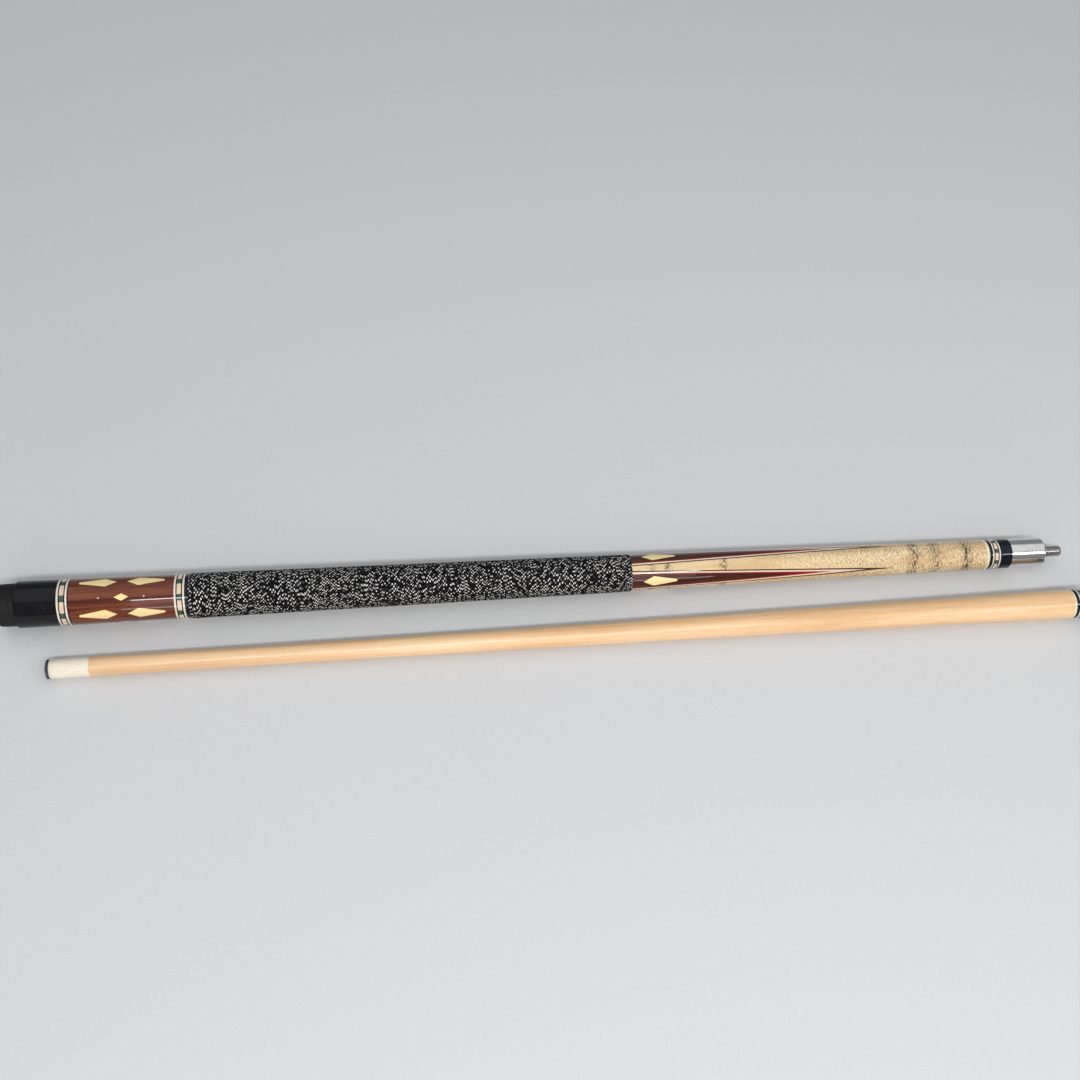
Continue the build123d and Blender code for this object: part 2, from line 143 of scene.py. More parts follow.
# ---------------------------------------------------------------- shaft: driving dimensions
SHAFT = 736.0
SHAFT_COLLAR = 9.2
FERRULE = 25.4
FERRULE_RADIUS = 6.5
TIP_RADIUS = 6.45
TIP = 3.4
TIP_EDGE = 2.0
SHAFT_SAG = 1.1
INSERT_RADIUS = 6.0
INSERT = 26.0
INSERT_BORE = 20.0
BORE_RADIUS = 4.02
GLUE_LINE = 0.05

# Dark marks in the forearm's figure: distance from the wrap, half width, strength.
FIGURE_MARKS = (
    (14.0, 5.0, 0.6),
    (26.0, 4.0, 0.8),
    (66.8, 4.5, 0.9),
    (209.8, 7.0, 0.9),
    (226.0, 6.5, 0.8),
    (251.0, 6.5, 1.0),
)

# ---------------------------------------------------------------- stations worked out from them
sleeve_start = CAP + 2 * WHITE + 3 * BLACK + BLOCK
sleeve_end = sleeve_start + SLEEVE
sleeve_middle = (sleeve_start + sleeve_end) / 2
wrap_start = sleeve_end + 2 * WHITE + 2 * BLACK + BLOCK + BAND
wrap_end = wrap_start + WRAP
forearm_end = wrap_end + FOREARM
joint_sleeve_start = forearm_end + 3 * JOINT_WHITE + 2 * JOINT_BLACK + JOINT_BLOCK + JOINT_BAND
collar_start = joint_sleeve_start + JOINT_SLEEVE
joint_face = collar_start + COLLAR
point_tip = wrap_end + POINT_LENGTH
taper = (BUTT_RADIUS - JOINT_RADIUS) / joint_face
ferrule_front = SHAFT - TIP
ferrule_start = ferrule_front - FERRULE


def butt_r(station):
    """Radius of the butt's lacquered surface."""
    return BUTT_RADIUS - taper * station


def shaft_band_r(station):
    """Radius of the shaft's collar and rings."""
    return JOINT_RADIUS - taper * station


class Half:
    """One half of the cue: where its axis lies, and the body its pieces ride on."""

    def __init__(self, body, start, tilt, along):
        x = Vector((along * cos(tilt), 0, -sin(tilt)))
        y = Vector((0, along, 0))
        z = x.cross(y)
        self.body = body
        self.side = -along
        self.turn = Matrix((x, y, z)).transposed()
        self.matrix = Matrix.Translation(start) @ self.turn.to_4x4()

    def point(self, station, radius, angle):
        """A point in this half's own millimetres."""
        turn = radians(angle)
        return (station, self.side * radius * sin(turn), radius * cos(turn))

    def normal(self, angle, lean):
        """Outward normal, in the shared frame, where the surface narrows by lean per length."""
        turn = radians(angle)
        return (self.turn @ Vector((lean, self.side * sin(turn), cos(turn)))).normalized()


# The lower edges of the bumper's end and of the shaft's face reach the ends of the CAD box.
low, high = (Vector(corner) for corner in cad_bounds)
butt_tilt = atan(taper)
butt_end = BUMPER * cos(butt_tilt) + (BUMPER_RADIUS - BUMPER_ROUND) * sin(butt_tilt)
butt_height = (BUTT_RADIUS + WRAP_REST) * cos(butt_tilt)
butt = Half(
    "butt",
    Vector((low.x + butt_end * MM, high.y - BUTT_RADIUS * MM, butt_height * MM)),
    butt_tilt,
    1,
)
shaft_tilt = atan((JOINT_RADIUS - FERRULE_RADIUS) / ferrule_front)
shaft_end = (JOINT_RADIUS - JOINT_EDGE) * sin(shaft_tilt)
shaft_height = JOINT_RADIUS * cos(shaft_tilt)
shaft = Half(
    "shaft",
    Vector((high.x - shaft_end * MM, low.y + JOINT_RADIUS * MM, shaft_height * MM)),
    shaft_tilt,
    -1,
)


# ================================================================ meshes
def put(name, half, mesh, material, nodes, body=None):
    """A finished piece: placed on its half, riding on its body, standing for its CAD nodes."""
    mesh.transform(half.matrix)
    mesh.materials.append(material)
    mesh.polygons.foreach_set("use_smooth", [True] * len(mesh.polygons))
    mesh.set_sharp_from_angle(angle=radians(SHARP_ANGLE))
    piece = bpy.data.objects.new(name, mesh)
    bpy.context.scene.collection.objects.link(piece)
    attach(piece, body or half.body)
    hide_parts(*nodes)
    return piece


def closed_mesh(name, points, faces, weld=WELD):
    """A mesh in metres from points in millimetres, with its faces turned outwards."""
    mesh = bpy.data.meshes.new(name)
    mesh.from_pydata([[c * MM for c in point] for point in points], [], faces)
    work = bmesh.new()
    work.from_mesh(mesh)
    if weld:
        bmesh.ops.remove_doubles(work, verts=work.verts, dist=weld * MM)
        bmesh.ops.dissolve_degenerate(work, edges=work.edges, dist=weld * MM)
    bmesh.ops.recalc_face_normals(work, faces=work.faces)
    work.to_mesh(mesh)
    work.free()
    return mesh


def turned(half, outline, first=0.0, arc=360.0):
    """Points and faces of a closed (station, radius) outline turned about the half's axis."""
    whole = arc >= 360
    columns = SEGMENTS if whole else max(3, round(SEGMENTS * arc / 360))
    lines = columns if whole else columns + 1
    count = len(outline)
    points = [
        half.point(station, radius, first + arc * column / columns)
        for column in range(lines)
        for station, radius in outline
    ]
    faces = []
    for column in range(columns):
        here = column * count
        there = (column + 1) % lines * count
        for index in range(count):
            after = (index + 1) % count
            faces.append((here + index, here + after, there + after, there + index))
    if not whole:
        faces.append(tuple(range(count)))
        faces.append(tuple(range((lines - 1) * count, lines * count)))
    return points, faces


def joined(parts):
    """Several (points, faces) pairs as one."""
    points, faces = [], []
    for more_points, more_faces in parts:
        shift = len(points)
        points += more_points
        faces += [tuple(index + shift for index in face) for face in more_faces]
    return points, faces


def lathe(name, half, outline, material, nodes, body=None):
    """One piece turned from a closed outline."""
    return put(name, half, closed_mesh(name, *turned(half, outline)), material, nodes, body)


def arc_points(middle, radius, start, end, steps):
    """Points on a round of an outline; the angle is 0 along the axis and 90 outwards."""
    return [
        (
            middle[0] + radius * cos(radians(start + (end - start) * step / steps)),
            middle[1] + radius * sin(radians(start + (end - start) * step / steps)),
        )
        for step in range(steps + 1)
    ]


def spaced(start, end, step):
    """Evenly spaced stations from start to end, at most a step apart."""
    count = ceil((end - start) / step)
    return [start + (end - start) * index / count for index in range(count + 1)]


def band_outline(start, end, radius_at, depth, step=12.0):
    """Outline of a flush ring or sleeve."""
    outer = [(station, radius_at(station)) for station in spaced(start, end, step)]
    return outer + [(end, radius_at(end) - depth), (start, radius_at(start) - depth)]


def rings(name, half, radius_at, spans, material, nodes):
    """Several flush rings as one piece."""
    parts = [turned(half, band_outline(a, b, radius_at, BAND_DEPTH)) for a, b in spans]
    return put(name, half, closed_mesh(name, *joined(parts)), material, nodes)


def blocks(name, half, radius_at, span, arc, middle, material, nodes):
    """Equal blocks let into one ring, one of them centred on an angle."""
    outline = band_outline(span[0], span[1], radius_at, BAND_DEPTH)
    parts = [
        turned(half, outline, middle - arc / 2 + index * 360 / BLOCK_COUNT, arc)
        for index in range(BLOCK_COUNT)
    ]
    return put(name, half, closed_mesh(name, *joined(parts)), material, nodes)


def helical(half, start, end, pitch, ridge, radius_at, inner, columns):
    """Points and faces of a surface ridged along a helix; ridge has the offsets over one pitch."""
    per = len(ridge)
    last = (ceil((end - start) / pitch) + 1) * per
    points, faces = [], []
    for row in range(-per, last + 1):
        for column in range(columns):
            station = start + (row / per + column / columns) * pitch
            held = min(max(station, start), end)
            offset = ridge[row % per] if start < station < end else 0.0
            points.append(half.point(held, radius_at(held, offset), 360 * column / columns))
    rows = last + 1 + per
    for row in range(rows - 1):
        for column in range(columns):
            across = row + per if column == columns - 1 else row
            if across + 1 >= rows:
                continue
            beside = (column + 1) % columns
            faces.append(
                (
                    row * columns + column,
                    across * columns + beside,
                    (across + 1) * columns + beside,
                    (row + 1) * columns + column,
                )
            )
    first_rim = range(columns)
    last_rim = range((rows - 1) * columns, rows * columns)
    for rim, station in ((first_rim, start), (last_rim, end)):
        shift = len(points)
        points += [half.point(station, inner, 360 * column / columns) for column in range(columns)]
        for column in range(columns):
            beside = (column + 1) % columns
            faces.append((rim[column], rim[beside], shift + beside, shift + column))
    near = len(points) - 2 * columns
    far = near + columns
    for column in range(columns):
        beside = (column + 1) % columns
        faces.append((near + column, near + beside, far + beside, far + column))
    return points, faces


def inside(polygon, spots):
    """Which of the spots lie inside a polygon, by counting its edges on one side."""
    a = np.array(polygon)
    b = np.roll(a, -1, axis=0)
    x, y = spots[:, :1], spots[:, 1:]
    spans = (a[:, 1] > y) != (b[:, 1] > y)
    rise = np.where(b[:, 1] == a[:, 1], 1.0, b[:, 1] - a[:, 1])
    meets = x < (b[:, 0] - a[:, 0]) * (y - a[:, 1]) / rise + a[:, 0]
    return (spans & meets).sum(1) % 2 == 1


def inlaid_skin(start, end, seam, step, outlines):
    """Cuts the butt's surface between two stations along closed outlines of (station, angle).

    Each outline has a kind; a later one lies inside or beside the earlier ones.
    Returns {kind: mesh}, flush with each other, where the kind "ground" is what is left.
    """
    scale = radians(1) * butt_r((start + end) / 2)
    stations = spaced(start, end, step)
    flat = [(s, (seam + 360 * c / SEGMENTS) * scale) for s in stations for c in range(SEGMENTS + 1)]
    edges = []
    for _, outline in outlines:
        shift = len(flat)
        flat += [(station, angle * scale) for station, angle in outline]
        edges += [(shift + i, shift + (i + 1) % len(outline)) for i in range(len(outline))]
    spots, _, triangles, *_ = delaunay_2d_cdt([Vector(p) for p in flat], edges, [], 0, 1e-4)
    corners = np.array([tuple(spot) for spot in spots])
    triangles = np.array([tuple(t) for t in triangles])
    middles = corners[triangles].mean(1)
    kinds = np.zeros(len(triangles), int)
    names = ["ground"]
    for kind, outline in outlines:
        if kind not in names:
            names.append(kind)
        polygon = [(station, angle * scale) for station, angle in outline]
        kinds[inside(polygon, middles)] = names.index(kind)
    corners[:, 1] /= scale
    return {
        kind: skin_mesh(kind, corners, triangles[kinds == number], seam)
        for number, kind in enumerate(names)
    }


def skin_mesh(name, corners, triangles, seam):
    """A thin closed mesh under some triangles of (station, angle) corners on the butt."""
    keys, places, index_of = {}, [], {}
    for corner in np.unique(triangles):
        station, angle = corners[corner]
        key = (round(station, 3), round((angle - seam) % 360, 3) % 360)
        if key not in keys:
            keys[key] = len(places)
            places.append((station, angle))
        index_of[corner] = keys[key]
    top = [tuple(index_of[corner] for corner in triangle) for triangle in triangles]
    top = [triangle for triangle in top if len(set(triangle)) == 3]
    count = len(places)
    points = [butt.point(s, butt_r(s), a) for s, a in places]
    points += [butt.point(s, butt_r(s) - SKIN_DEPTH, a) for s, a in places]
    faces = top + [tuple(index + count for index in reversed(t)) for t in top]
    sides = {(t[i], t[(i + 1) % 3]) for t in top for i in range(3)}
    faces += [(b, a, a + count, b + count) for a, b in sides if (b, a) not in sides]
    mesh = closed_mesh(name, points, faces, weld=None)
    mesh["round_corners"] = [value for _, angle in places for value in butt.normal(angle, taper)]
    return mesh


def put_skin(name, mesh, material, nodes):
    """A piece cut by inlaid_skin; its outer surface keeps the normals of the whole cone."""
    normals = np.array(mesh["round_corners"]).reshape(-1, 3)
    del mesh["round_corners"]
    mesh.name = name
    piece = put(name, butt, mesh, material, nodes)
    loops = []
    for face in mesh.polygons:
        outer = max(face.vertices) < len(normals)
        loops += [normals[vertex] if outer else (0, 0, 0) for vertex in face.vertices]
    mesh.normals_split_custom_set([tuple(normal) for normal in loops])
    return piece


# ---------------------------------------------------------------- outlines of the inlays
def on_surface(station, across, middle):
    """The (station, angle) of a point that lies this far across from an inlay's middle line."""
    return station, middle + degrees(asin(across / butt_r(station)))


def spear(angle, station, way):
    """Outline of a spear with its point at the station and its tail the given way."""
    shoulder = station + way * SPEAR_SHOULDER
    tail = station + way * (SPEAR - SPEAR_TAIL)
    tail_round = [
        on_surface(tail + way * SPEAR_TAIL * sin(t), SPEAR_TAIL * cos(t), angle)
        for t in (pi * step / 8 for step in range(9))
    ]
    flank = [
        on_surface(
            shoulder + (tail - shoulder) * t,
            SPEAR_HALF_WIDTH + (SPEAR_TAIL - SPEAR_HALF_WIDTH) * t,
            angle,
        )
        for t in (step / 6 for step in range(6))
    ]
    mirrored = [(s, 2 * angle - a) for s, a in reversed(flank)]
    return [(station, angle)] + flank + tail_round + mirrored


def diamond(angle, station):
    """Outline of a diamond, centred on a station."""
    return [
        (station - DIAMOND_LENGTH / 2, angle),
        on_surface(station, DIAMOND_WIDTH / 2, angle),
        (station + DIAMOND_LENGTH / 2, angle),
        on_surface(station, -DIAMOND_WIDTH / 2, angle),
    ]


def dot(angle, station, radius):
    """Outline of a round dot."""
    corners = 20
    turns = [tau * corner / corners for corner in range(corners)]
    return [on_surface(station + radius * cos(turn), radius * sin(turn), angle) for turn in turns]


def groove(angle, lift):
    """Outline on the surface of a square-edged groove that runs out towards the joint.

    The lift raises its bottom, by what is already laid in it.
    """
    tip = point_tip - lift / GROOVE_CLOSING
    half_angles = []
    steps = 60
    for step in range(steps + 1):
        station = wrap_end + (tip - wrap_end) * (1 - (1 - step / steps) ** 2)
        radius = butt_r(station)
        bottom = radius - GROOVE_CLOSING * (point_tip - station) + lift
        share = min(1.0, bottom / (sqrt(2) * radius))
        half_angles.append((station, max(0.0, degrees(acos(share)) - 45)))
    upper = [(s, angle + a) for s, a in half_angles[:-1]]
    lower = [(s, angle - a) for s, a in reversed(half_angles[:-1])]
    return upper + [(tip, angle)] + lower


# ================================================================ materials
class Surface:
    """A material's nodes, in a half's own coordinates: x along the axis, in metres."""

    def __init__(self, name, half=butt, **values):
        self.material = bpy.data.materials.new(name)
        self.material.use_nodes = True
        self.tree = self.material.node_tree
        self.shader = self.tree.nodes["Principled BSDF"]
        own = self.node("ShaderNodeMapping", vector_type="TEXTURE")
        self.feed(own.inputs["Vector"], self.node("ShaderNodeTexCoord").outputs["Object"])
        own.inputs["Location"].default_value = half.matrix.translation
        own.inputs["Rotation"].default_value = half.turn.to_euler()
        self.place = own.outputs["Vector"]
        for socket, value in values.items():
            self.shader.inputs[socket.replace("_", " ")].default_value = value

    def node(self, kind, **settings):
        made = self.tree.nodes.new(kind)
        for key, value in settings.items():
            setattr(made, key, value)
        return made

    def feed(self, socket, value):
        """Links an output to a socket, or sets the socket to a number."""
        if isinstance(value, bpy.types.NodeSocket):
            self.tree.links.new(value, socket)
        else:
            socket.default_value = value

    def set(self, socket, value):
        """Feeds one of the shader's own sockets."""
        self.feed(self.shader.inputs[socket], value)

    def math(self, operation, first, second=0.0):
        made = self.node("ShaderNodeMath", operation=operation)
        self.feed(made.inputs[0], first)
        self.feed(made.inputs[1], second)
        return made.outputs[0]

    def total(self, *values):
        """The sum of several outputs or numbers."""
        result = values[0]
        for value in values[1:]:
            result = self.math("ADD", result, value)
        return result

    def stretch(self, along, across):
        """The place, scaled along the axis and across it."""
        made = self.node("ShaderNodeMapping")
        self.feed(made.inputs["Vector"], self.place)
        made.inputs["Scale"].default_value = (along, across, across)
        return made.outputs["Vector"]

    def axes(self):
        """The place as x, y and z."""
        made = self.node("ShaderNodeSeparateXYZ")
        self.feed(made.inputs[0], self.place)
        return made.outputs

    def noise(self, vector, detail=3.0, roughness=0.55, distortion=0.0):
        """Cloudy noise, mostly from 0.3 to 0.7; its scale comes from the stretched vector."""
        made = self.node("ShaderNodeTexNoise")
        self.feed(made.inputs["Vector"], vector)
        made.inputs["Scale"].default_value = 1.0
        made.inputs["Detail"].default_value = detail
        made.inputs["Roughness"].default_value = roughness
        made.inputs["Distortion"].default_value = distortion
        return made.outputs["Fac"]

    def cell_edge(self, vector):
        """Distance to the nearest edge of irregular cells."""
        made = self.node("ShaderNodeTexVoronoi", feature="DISTANCE_TO_EDGE")
        self.feed(made.inputs["Vector"], vector)
        made.inputs["Scale"].default_value = 1.0
        return made.outputs["Distance"]

    def chance(self, value, seed):
        """A fixed random number from 0 to 1 for each whole value and seed."""
        made = self.node("ShaderNodeTexWhiteNoise", noise_dimensions="1D")
        self.feed(made.inputs["W"], self.math("ADD", value, seed))
        return made.outputs["Value"]

    def ramp(self, value, *stops):
        """Colours at places from 0 to 1."""
        made = self.node("ShaderNodeValToRGB")
        self.feed(made.inputs["Fac"], value)
        elements = made.color_ramp.elements
        while len(elements) < len(stops):
            elements.new(0.5)
        for element, (position, colour) in zip(elements, stops):
            element.position = position
            element.color = (*colour, 1.0)
        return made.outputs["Color"]

    def span(self, value, low_end, high_end, to_low=0.0, to_high=1.0):
        """A value carried from one range to another, and held at the ends."""
        made = self.node("ShaderNodeMapRange", interpolation_type="SMOOTHSTEP")
        self.feed(made.inputs["Value"], value)
        made.inputs["From Min"].default_value = low_end
        made.inputs["From Max"].default_value = high_end
        made.inputs["To Min"].default_value = to_low
        made.inputs["To Max"].default_value = to_high
        return made.outputs["Result"]

    def blend(self, share, first, second):
        """Two colours mixed; a share of 1 is all of the second."""
        made = self.node("ShaderNodeMix", data_type="RGBA")
        self.feed(made.inputs[0], share)
        for socket, value in ((made.inputs[6], first), (made.inputs[7], second)):
            self.feed(socket, value if isinstance(value, bpy.types.NodeSocket) else (*value, 1.0))
        return made.outputs[2]

    def bump(self, height, distance_mm, strength, socket="Normal"):
        """Fine relief that is too small for the mesh."""
        made = self.node("ShaderNodeBump")
        self.feed(made.inputs["Height"], height)
        made.inputs["Distance"].default_value = distance_mm * MM
        made.inputs["Strength"].default_value = strength
        self.set(socket, made.outputs["Normal"])


def near(surface, value, middle, reach):
    """1 at the middle, falling to 0 at a distance of reach."""
    away = surface.math("ABSOLUTE", surface.math("SUBTRACT", value, middle))
    return surface.span(away, 0.0, reach, 1.0, 0.0)


def lacquered(name, coat_roughness=0.035):
    """A piece under the cue's clear gloss finish, with the finish's slight unevenness."""
    made = Surface(name, Coat_Weight=1.0, Coat_Roughness=coat_roughness, Coat_IOR=1.42)
    made.shader.inputs["Specular IOR Level"].default_value = 0.08
    made.bump(made.noise(made.stretch(430, 130), 2.0), 0.012, 0.3, "Coat Normal")
    return made


def rosewood_material(name, depth):
    """Dark-streaked rosewood under the lacquer; a smaller depth is a darker wood."""
    made = lacquered(name, 0.03)
    broad = made.noise(made.stretch(9, 230), 4.0, 0.6, 0.6)
    fine = made.noise(made.stretch(45, 1300), 3.0, 0.65)
    pores = made.noise(made.stretch(260, 2600), 2.0, 0.5)
    grain = made.total(made.math("MULTIPLY", broad, 0.72), made.math("MULTIPLY", fine, 0.28))
    tones = (
        (0.32, (0.018, 0.004, 0.002)),
        (0.43, (0.070, 0.013, 0.006)),
        (0.52, (0.140, 0.030, 0.011)),
        (0.66, (0.240, 0.062, 0.020)),
    )
    wood = made.ramp(grain, *((place, tuple(c * depth for c in tone)) for place, tone in tones))
    pored = made.blend(made.span(pores, 0.60, 0.72, 0.0, 0.75), wood, (0.012, 0.004, 0.003))
    made.set("Base Color", pored)
    made.set("Roughness", made.span(fine, 0.3, 0.7, 0.38, 0.55))
    made.bump(fine, 0.03, 0.2)
    return made.material


def figured_maple_material():
    """Pale maple with a brown fleck, dark figure marks across the grain and a clean cream end."""
    made = lacquered("figured_maple_under_lacquer", 0.04)
    x = made.axes()[0]
    broad = made.noise(made.stretch(14, 120), 4.0, 0.55, 0.4)
    wood = made.ramp(
        broad,
        (0.32, (0.62, 0.43, 0.20)),
        (0.48, (0.75, 0.56, 0.30)),
        (0.64, (0.83, 0.67, 0.40)),
    )
    fleck = made.noise(made.stretch(1500, 560), 3.0, 0.6)
    late = made.span(x, (wrap_end + 40) * MM, (forearm_end - 60) * MM, 0.22, 1.0)
    flecked = made.blend(
        made.math("MULTIPLY", made.span(fleck, 0.45, 0.60), late), wood, (0.40, 0.28, 0.18)
    )
    scribble = made.noise(made.stretch(850, 290), 4.0, 0.7, 0.8)
    wave = made.noise(made.stretch(25, 110), 2.0)
    wobbly = made.math("ADD", x, made.math("MULTIPLY", made.math("SUBTRACT", wave, 0.5), 9 * MM))
    marks = None
    for station, reach, depth in FIGURE_MARKS:
        closeness = near(made, wobbly, (wrap_end + station) * MM, reach * MM)
        band = made.math("MULTIPLY", closeness, depth)
        marks = band if marks is None else made.math("MAXIMUM", marks, band)
    dark = made.math("MULTIPLY", marks, made.span(scribble, 0.48, 0.53))
    marked = made.blend(dark, flecked, (0.040, 0.024, 0.018))
    clean = made.span(x, (forearm_end - 1.4) * MM, (forearm_end - 0.8) * MM)
    made.set("Base Color", made.blend(clean, marked, (0.82, 0.66, 0.40)))
    made.set("Roughness", made.span(fleck, 0.3, 0.7, 0.35, 0.5))
    made.bump(fleck, 0.02, 0.15)
    return made.material


def shaft_maple_material():
    """Plain straight-grained maple with a satin finish, a little darker where hands have run."""
    made = Surface("plain_maple_satin", shaft, Coat_Weight=0.35, Coat_Roughness=0.22)
    x = made.axes()[0]
    broad = made.noise(made.stretch(7, 170), 4.0, 0.55, 0.3)
    fine = made.noise(made.stretch(40, 1500), 3.0, 0.6)
    grain = made.total(made.math("MULTIPLY", broad, 0.7), made.math("MULTIPLY", fine, 0.3))
    wood = made.ramp(
        grain,
        (0.33, (0.66, 0.38, 0.18)),
        (0.47, (0.77, 0.49, 0.25)),
        (0.64, (0.85, 0.60, 0.35)),
    )
    rays = made.noise(made.stretch(330, 1700), 2.0, 0.5)
    flecked = made.blend(made.span(rays, 0.60, 0.74, 0.0, 0.45), wood, (0.42, 0.24, 0.11))
    worn = made.span(x, ferrule_start * 0.55 * MM, ferrule_start * MM, 0.0, 0.22)
    handled = made.blend(worn, flecked, (0.60, 0.42, 0.26))
    made.set("Base Color", handled)
    made.set("Roughness", made.span(fine, 0.3, 0.7, 0.34, 0.52))
    made.bump(made.total(fine, rays), 0.03, 0.25)
    return made.material


def linen_material():
    """Wound linen: black thread with a white ply that shows as flecks, in rows that wander."""
    made = Surface("wound_linen_thread", Roughness=0.75)
    made.shader.inputs["Specular IOR Level"].default_value = 0.03
    x, y, z = made.axes()
    turn = made.math("DIVIDE", made.math("ARCTAN2", made.math("MULTIPLY", y, -1.0), z), tau)
    along = made.math("DIVIDE", made.math("SUBTRACT", x, wrap_start * MM), LINEN_PITCH * MM)
    wound = made.math("SUBTRACT", along, turn)
    thread = made.math("FLOOR", wound)
    across = made.math("SUBTRACT", made.math("FRACT", wound), 0.5)
    laid = made.math("ADD", thread, turn)
    flecks_per_turn = 34
    row_shift = 0.45
    row_chance = 0.30
    wander = 7.5
    drift = made.noise(made.stretch(100, 25), 1.0, 0.4)
    phase = made.total(
        made.math("MULTIPLY", laid, flecks_per_turn),
        made.math("MULTIPLY", thread, row_shift),
        made.math("MULTIPLY", drift, wander),
        made.math("MULTIPLY", made.chance(thread, 3.0), row_chance),
    )
    stripe = made.math("ABSOLUTE", made.math("SUBTRACT", made.math("FRACT", phase), 0.5))
    white_ply = made.span(stripe, 0.11, 0.20, 1.0, 0.0)
    round_thread = made.span(made.math("ABSOLUTE", across), 0.30, 0.47, 1.0, 0.03)
    number = made.total(made.math("FLOOR", phase), made.math("MULTIPLY", thread, 7.31))
    fleck = made.chance(number, 5.0)
    strength = made.span(fleck, 0.22, 0.85, 0.02, 1.0)
    share = made.math("MULTIPLY", made.math("MULTIPLY", white_ply, round_thread), strength)
    fuzz = made.noise(made.stretch(2600, 2600), 2.0, 0.6)
    black = made.ramp(fuzz, (0.35, (0.001, 0.001, 0.002)), (0.75, (0.008, 0.008, 0.011)))
    white = made.ramp(fuzz, (0.3, (0.80, 0.79, 0.75)), (0.7, (0.96, 0.95, 0.91)))
    made.set("Base Color", made.blend(share, black, white))
    made.bump(made.total(round_thread, made.math("MULTIPLY", fuzz, 0.3)), 0.12, 0.8)
    return made.material


def mottled(name, light, dark, fine_scale, threshold, veins):
    """A clouded stone or ivory substitute under the lacquer, with fine dark veins."""
    made = lacquered(name)
    clouds = made.noise(made.stretch(fine_scale, fine_scale), 4.0, 0.6, 0.8)
    body = made.ramp(clouds, (0.30, dark), (0.62, light))
    crack = made.cell_edge(made.stretch(fine_scale * 1.4, fine_scale * 1.4))
    lines = made.span(crack, 0.0, threshold, veins, 0.0)
    made.set("Base Color", made.blend(lines, body, tuple(c * 0.35 for c in dark)))
    made.set("Roughness", made.span(clouds, 0.3, 0.7, 0.25, 0.42))
    return made.material


def veneer_material(name, light, dark, painted_shade=None):
    """Dyed veneer with a close straight grain, and optional painted shade towards the wrap."""
    made = lacquered(name)
    grain = made.noise(made.stretch(25, 1600), 3.0, 0.6)
    colour = made.ramp(grain, (0.3, dark), (0.7, light))
    if painted_shade:
        # Painted shade: near the wrap the grain colour is blended towards a darker colour.
        painted_shade_share = made.span(made.axes()[0], (wrap_end + 50) * MM, (wrap_end + 150) * MM, 0.8, 0.0)
        colour = made.blend(painted_shade_share, colour, painted_shade)
    made.set("Base Color", colour)
    made.set("Roughness", made.span(grain, 0.3, 0.7, 0.35, 0.5))
    made.bump(grain, 0.015, 0.15)
    return made.material


def black_plastic_material(name, colour):
    """Polished black resin with fine circumferential polishing marks and a few rub marks."""
    made = Surface(name, IOR=1.32)
    marks = made.noise(made.stretch(3200, 30), 2.0, 0.5)
    rubs = made.noise(made.stretch(90, 160), 4.0, 0.6)
    made.set("Base Color", made.ramp(rubs, (0.3, colour), (0.8, tuple(c * 1.9 for c in colour))))
    polish = made.span(marks, 0.3, 0.7, 0.08, 0.15)
    made.set("Roughness", made.total(polish, made.span(rubs, 0.5, 0.8, 0.0, 0.1)))
    made.bump(marks, 0.004, 0.2)
    return made.material


def steel_material(name, colour, low_rough, high_rough):
    """Turned steel: fine rings from the lathe, and hairline wear."""
    made = Surface(name, Metallic=1.0)
    lathe_rings = made.noise(made.stretch(5200, 12), 3.0, 0.6)
    wear = made.noise(made.stretch(160, 240), 4.0, 0.65)
    made.set("Base Color", made.ramp(wear, (0.3, tuple(c * 0.86 for c in colour)), (0.7, colour)))
    made.set(
        "Roughness",
        made.total(
            made.span(lathe_rings, 0.3, 0.7, low_rough, high_rough),
            made.span(wear, 0.55, 0.8, 0.0, 0.08),
        ),
    )
    made.bump(lathe_rings, 0.006, 0.35)
    return made.material


def rubber_material():
    """Dull black rubber with a moulded skin, scuffed grey where the cue stands on it."""
    made = Surface("moulded_rubber", Roughness=0.7)
    made.shader.inputs["Specular IOR Level"].default_value = 0.2
    skin = made.noise(made.stretch(900, 900), 3.0, 0.6)
    scuffs = made.noise(made.stretch(110, 110), 4.0, 0.7)
    x = made.axes()[0]
    rear = made.span(x, -BUMPER * MM, (3 - BUMPER) * MM, 1.0, 0.0)
    worn = made.math("MULTIPLY", rear, made.span(scuffs, 0.45, 0.7))
    greyed = made.math("MULTIPLY", worn, 0.6)
    made.set("Base Color", made.blend(greyed, (0.010, 0.010, 0.011), (0.055, 0.053, 0.05)))
    made.set("Roughness", made.span(scuffs, 0.3, 0.7, 0.55, 0.8))
    made.bump(made.total(skin, scuffs), 0.08, 0.45)
    return made.material


def ferrule_material():
    """Warm white ferrule with faint fibre and chalk held in fine turning marks."""
    made = Surface("ivory_coloured_ferrule", shaft, Coat_Weight=0.4, Coat_Roughness=0.12)
    x = made.axes()[0]
    fibre = made.noise(made.stretch(260, 900), 3.0, 0.6)
    rings_left = made.noise(made.stretch(2600, 18), 2.0, 0.5)
    body = made.ramp(fibre, (0.3, (0.74, 0.67, 0.52)), (0.7, (0.84, 0.78, 0.64)))
    chalk = made.span(x, (ferrule_front - 4.5) * MM, ferrule_front * MM, 0.0, 0.5)
    dusty = made.math("MULTIPLY", chalk, made.span(rings_left, 0.45, 0.65))
    made.set("Base Color", made.blend(dusty, body, (0.30, 0.38, 0.48)))
    made.set("Roughness", made.span(rings_left, 0.3, 0.7, 0.26, 0.4))
    made.bump(rings_left, 0.01, 0.3)
    return made.material


